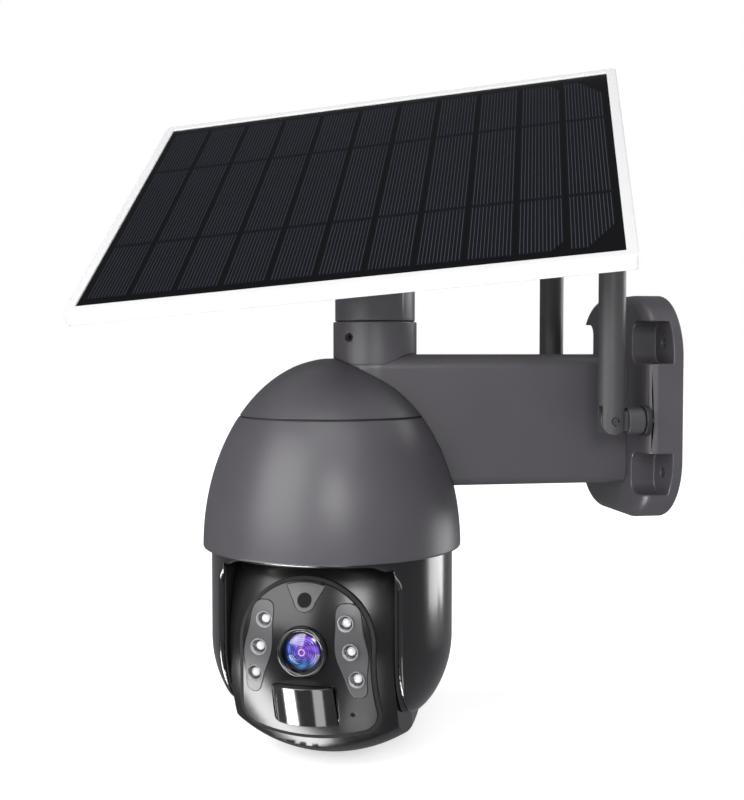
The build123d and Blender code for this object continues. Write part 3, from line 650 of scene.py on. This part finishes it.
# %% Fingers on every strip
def finger_tree():
    grove = Grove("printed fingers")
    columns = grove.given("Columns", "Int", cell_columns)
    fingers = grove.given("Fingers per column", "Int", 12)
    pitch = grove.given("Column pitch", "Float", column_pitch)
    start = grove.given("First column", "Float", column_start(0))
    width = grove.given("Cell width", "Float", cell_width)
    depth = grove.given("Cell depth", "Float", cell_depth)
    line = grove.given("Line width", "Float", 0.26 * MM)
    ribbon = grove.given("Ribbon width", "Float", 2.6 * MM)
    ribbon_at = grove.given("Ribbon place", "Float", 0.225)
    per_column = grove.sum("MULTIPLY", fingers, 3)
    total = grove.sum("MULTIPLY", columns, per_column)
    line_mesh = grove.node("GeometryNodeMeshLine", {"mode": "OFFSET"},
                           {"Count": total, "Offset": (0, 0, 0)})
    index = grove.node("GeometryNodeInputIndex")
    column = grove.sum("FLOOR", grove.sum("DIVIDE", index, per_column))
    rest = grove.sum("SUBTRACT", index, grove.sum("MULTIPLY", column, per_column))
    finger = grove.sum("FLOOR", grove.sum("DIVIDE", rest, 3.0))
    stretch = grove.sum("SUBTRACT", rest, grove.sum("MULTIPLY", finger, 3.0))
    step = grove.sum("DIVIDE", width, fingers)
    inside = grove.sum("MULTIPLY", grove.sum("ADD", finger, 0.5), step)
    x = grove.sum("ADD", grove.sum("ADD", start, grove.sum("MULTIPLY", column, pitch)), inside)
    last = grove.sum("COMPARE", column, cell_columns - 1, 0.1)
    before_last = grove.sum("COMPARE", column, cell_columns - 2, 0.1)
    shortened = []
    for chosen, key in ((last, cell_columns - 1), (before_last, cell_columns - 2)):
        cut_x, cut_y = cut_corner[key]
        beyond = grove.sum("MAXIMUM", grove.sum("SUBTRACT", inside, cell_width - cut_x), 0.0)
        shortened.append(grove.sum("MULTIPLY", chosen, grove.sum("MULTIPLY", beyond, cut_y / cut_x)))
    cut = grove.sum("ADD", *shortened)
    half = grove.sum("MULTIPLY", depth, 0.5)
    edge = grove.sum("SUBTRACT", half, grove.sum("ADD", cut, 1.4 * MM))
    crossing = grove.sum("MULTIPLY", depth, ribbon_at)
    clear = grove.sum("MULTIPLY", ribbon, 0.5)
    middle_end = grove.sum("SUBTRACT", crossing, clear)
    outer_start = grove.sum("ADD", crossing, clear)
    side = grove.sum("SUBTRACT", stretch, 1.0)
    is_middle = grove.sum("COMPARE", stretch, 1.0, 0.1)
    is_outer = grove.sum("SUBTRACT", 1.0, is_middle)
    outer_length = grove.sum("SUBTRACT", edge, outer_start)
    outer_centre = grove.sum("MULTIPLY", grove.sum("ADD", edge, outer_start), 0.5)
    y = grove.sum("MULTIPLY", side, outer_centre)
    length = grove.sum("ADD", grove.sum("MULTIPLY", is_outer, outer_length),
                       grove.sum("MULTIPLY", is_middle, grove.sum("MULTIPLY", middle_end, 2.0)))
    placed = grove.node("GeometryNodeSetPosition", None,
                        {"Geometry": line_mesh, "Position": grove.vector(x, y, cell_lift)})
    box = grove.node("GeometryNodeMeshCube", None, {"Size": grove.vector(line, 1.0, 0.05 * MM)})
    copies = grove.node("GeometryNodeInstanceOnPoints", None,
                        {"Points": placed, "Instance": box, "Scale": grove.vector(1.0, length, 1.0)})
    return grove, copies


grove, fingers_made = finger_tree()
fingers = grove.grown("solar_fingers", fingers_made, silver_line, "panel", panel_place)

# %% [markdown]
# ## Lamps
# Six infra-red lamps sit in bright cups. Round each clear dome lies a black seal that
# keeps stray light from leaking sideways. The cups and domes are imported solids. The
# seals are six equal rings, so one tree sets a ring at the middle of every dome.

# %% Find the six lamps
def islands(node):
    """The separate solids of one node, as lists of points."""
    shape = welded(node)
    left, groups = set(shape.verts), []
    while left:
        queue, group = [left.pop()], []
        while queue:
            vert = queue.pop()
            group.append(vert.co.copy())
            for edge in vert.link_edges:
                other = edge.other_vert(vert)
                if other in left:
                    left.remove(other)
                    queue.append(other)
        groups.append(group)
    shape.free()
    return groups


def middle(points):
    low = [min(p[i] for p in points) for i in range(3)]
    high = [max(p[i] for p in points) for i in range(3)]
    return Vector([(a + b) / 2 for a, b in zip(low, high)])


lamp_spots = [middle(points) for points in islands("led_lenses")]
print(len(lamp_spots), "lamps")

# %% A seal round every dome
face_place = Matrix.Translation(ball_at) @ Matrix((face_right, face_up, face_out)).transposed().to_4x4()


def face_local(point):
    return face_place.inverted() @ point


def seal_tree():
    grove = Grove("lamp seals")
    joined = grove.tree.nodes.new("GeometryNodeJoinGeometry")
    for spot in lamp_spots:
        one = grove.node("GeometryNodeMeshLine", {"mode": "OFFSET"},
                         {"Count": 1, "Start Location": face_local(spot), "Offset": (0, 0, 0)})
        grove.tree.links.new(one, joined.inputs[0])
    radius = grove.given("Seal radius", "Float", 2.28 * MM)
    thick = grove.given("Seal thickness", "Float", 0.5 * MM)
    lift = grove.given("Lift above the middle of the dome", "Float", 0.8 * MM)
    ring = grove.node("GeometryNodeCurvePrimitiveCircle", None, {"Resolution": 40, "Radius": radius})
    section = grove.node("GeometryNodeCurvePrimitiveCircle", None, {"Resolution": 10, "Radius": thick})
    seal = grove.node("GeometryNodeCurveToMesh", None, {0: ring, 1: section})
    raised = grove.node("GeometryNodeSetPosition", None,
                        {"Geometry": joined.outputs[0], "Offset": grove.vector(0.0, 0.0, lift)})
    return grove, grove.node("GeometryNodeInstanceOnPoints", None, {"Points": raised, "Instance": seal})


grove, seals_made = seal_tree()
lamp_seals = grove.grown("lamp_seals", seals_made, inner_black, "camera_ball", face_place)

# %% [markdown]
# ## Studio
# The object stands over a pale floor in soft light; the floor carries a painted glow, dim
# near the object and white far away, so that it fades into the white world. The camera
# looks along the arm from the lens side, a little below the panel, and tilts down slightly.
# A soft box on the left draws the long highlight on the dome, one overhead lights the
# shoulders, one near the camera lights the face, and one behind draws the far edges. Two
# strips stand below the floor. The floor hides them from all but mirror-like reflections,
# so they draw the two bright bars in the motion window and light nothing else.

# %% Camera
camera_at = Vector((0.5499, -0.2364, 0.0266))
heading, pitch_down = Vector((-0.9848, 0.1736, 0.0)), 2.39
look = heading * math.cos(math.radians(pitch_down)) - face_up * math.sin(math.radians(pitch_down))
camera_data = bpy.data.cameras.new("camera")
camera_data.lens = 51.75
camera_data.sensor_width = 36
camera_data.clip_start = 0.01
camera = bpy.data.objects.new("camera", camera_data)
camera.location = camera_at
camera.rotation_euler = look.to_track_quat("-Z", "Y").to_euler()
bpy.context.collection.objects.link(camera)
bpy.context.scene.camera = camera
print("camera looks along", [round(v, 3) for v in look])


# %% Lights
def soft_box(name, place, aim, width, height, power):
    light = bpy.data.lights.new(name, "AREA")
    light.shape = "RECTANGLE"
    light.size, light.size_y, light.energy = width, height, power
    lamp = bpy.data.objects.new(name, light)
    lamp.visible_camera = False
    lamp.location = place
    lamp.rotation_euler = (Vector(aim) - Vector(place)).to_track_quat("-Z", "Y").to_euler()
    bpy.context.collection.objects.link(lamp)
    return lamp


target = (0, -0.12, 0.0)
ball_target = (0.04, -0.18, -0.13)
soft_box("left_box", (0.60, -1.05, 0.40), target, 0.9, 1.0, 15)
soft_box("top_box", (0.55, -0.2, 1.35), target, 1.2, 1.2, 14)
soft_box("camera_box", (1.15, -0.26, 0.36), target, 0.36, 0.36, 6)
soft_box("rim_box", (-0.35, 1.15, 0.25), target, 0.7, 1.3, 14)
soft_box("low_left_strip", (0.08, -0.80, -0.90), ball_target, 0.36, 1.1, 22)
soft_box("low_right_strip", (0.86, -0.16, -0.90), ball_target, 0.34, 1.1, 4.5)
print("four soft boxes, and two low strips that only glossy parts can see")

# %% World and floor
world = bpy.data.worlds.new("studio air")
world.use_nodes = True
bpy.context.scene.world = world
air = world.node_tree
air.nodes.clear()
seen = air.nodes.new("ShaderNodeLightPath")
shade = air.nodes.new("ShaderNodeMix")
shade.data_type = "RGBA"
shade.inputs[6].default_value = (0.20, 0.20, 0.21, 1)
shade.inputs[7].default_value = (1.0, 1.0, 1.0, 1)
glow = air.nodes.new("ShaderNodeBackground")
sky = air.nodes.new("ShaderNodeOutputWorld")
air.links.new(seen.outputs["Is Camera Ray"], shade.inputs[0])
air.links.new(shade.outputs[2], glow.inputs["Color"])
air.links.new(glow.outputs[0], sky.inputs["Surface"])


def pale_floor_painted_glow():
    finish = Finish("pale_floor_painted_glow")
    tone = finish.noise(400, 2)
    # painted glow on the floor: a ramp on the distance from the origin, dim near the object and white far away
    away = finish.node("ShaderNodeVectorMath", {"operation": "LENGTH"}, {0: finish.place()}, out=1)
    stops = [(0.0, (0.45, 0.45, 0.45)), (0.35, (0.72, 0.72, 0.72)), (1.0, (1.0, 1.0, 1.0))]
    glow = finish.node("ShaderNodeValToRGB", {"stops": stops}, {0: away / 2.2})
    return finish.surface(Base_Color=finish.blend(tone, (0.86, 0.86, 0.86), (0.92, 0.92, 0.92)),
                          Roughness=0.8, Emission_Color=glow, Emission_Strength=1.0)


floor_shape = bmesh.new()
bmesh.ops.create_circle(floor_shape, cap_ends=True, radius=14.0, segments=96)
floor_mesh = bpy.data.meshes.new("floor")
floor_shape.to_mesh(floor_mesh)
floor_shape.free()
floor_mesh.materials.append(pale_floor_painted_glow())
floor = bpy.data.objects.new("floor", floor_mesh)
floor.location = (0, 0, cad_box[0].z - 0.002)
floor.visible_glossy = False
bpy.context.collection.objects.link(floor)
bpy.context.scene.view_settings.view_transform = "Standard"
print("floor at", round(floor.location.z, 4))
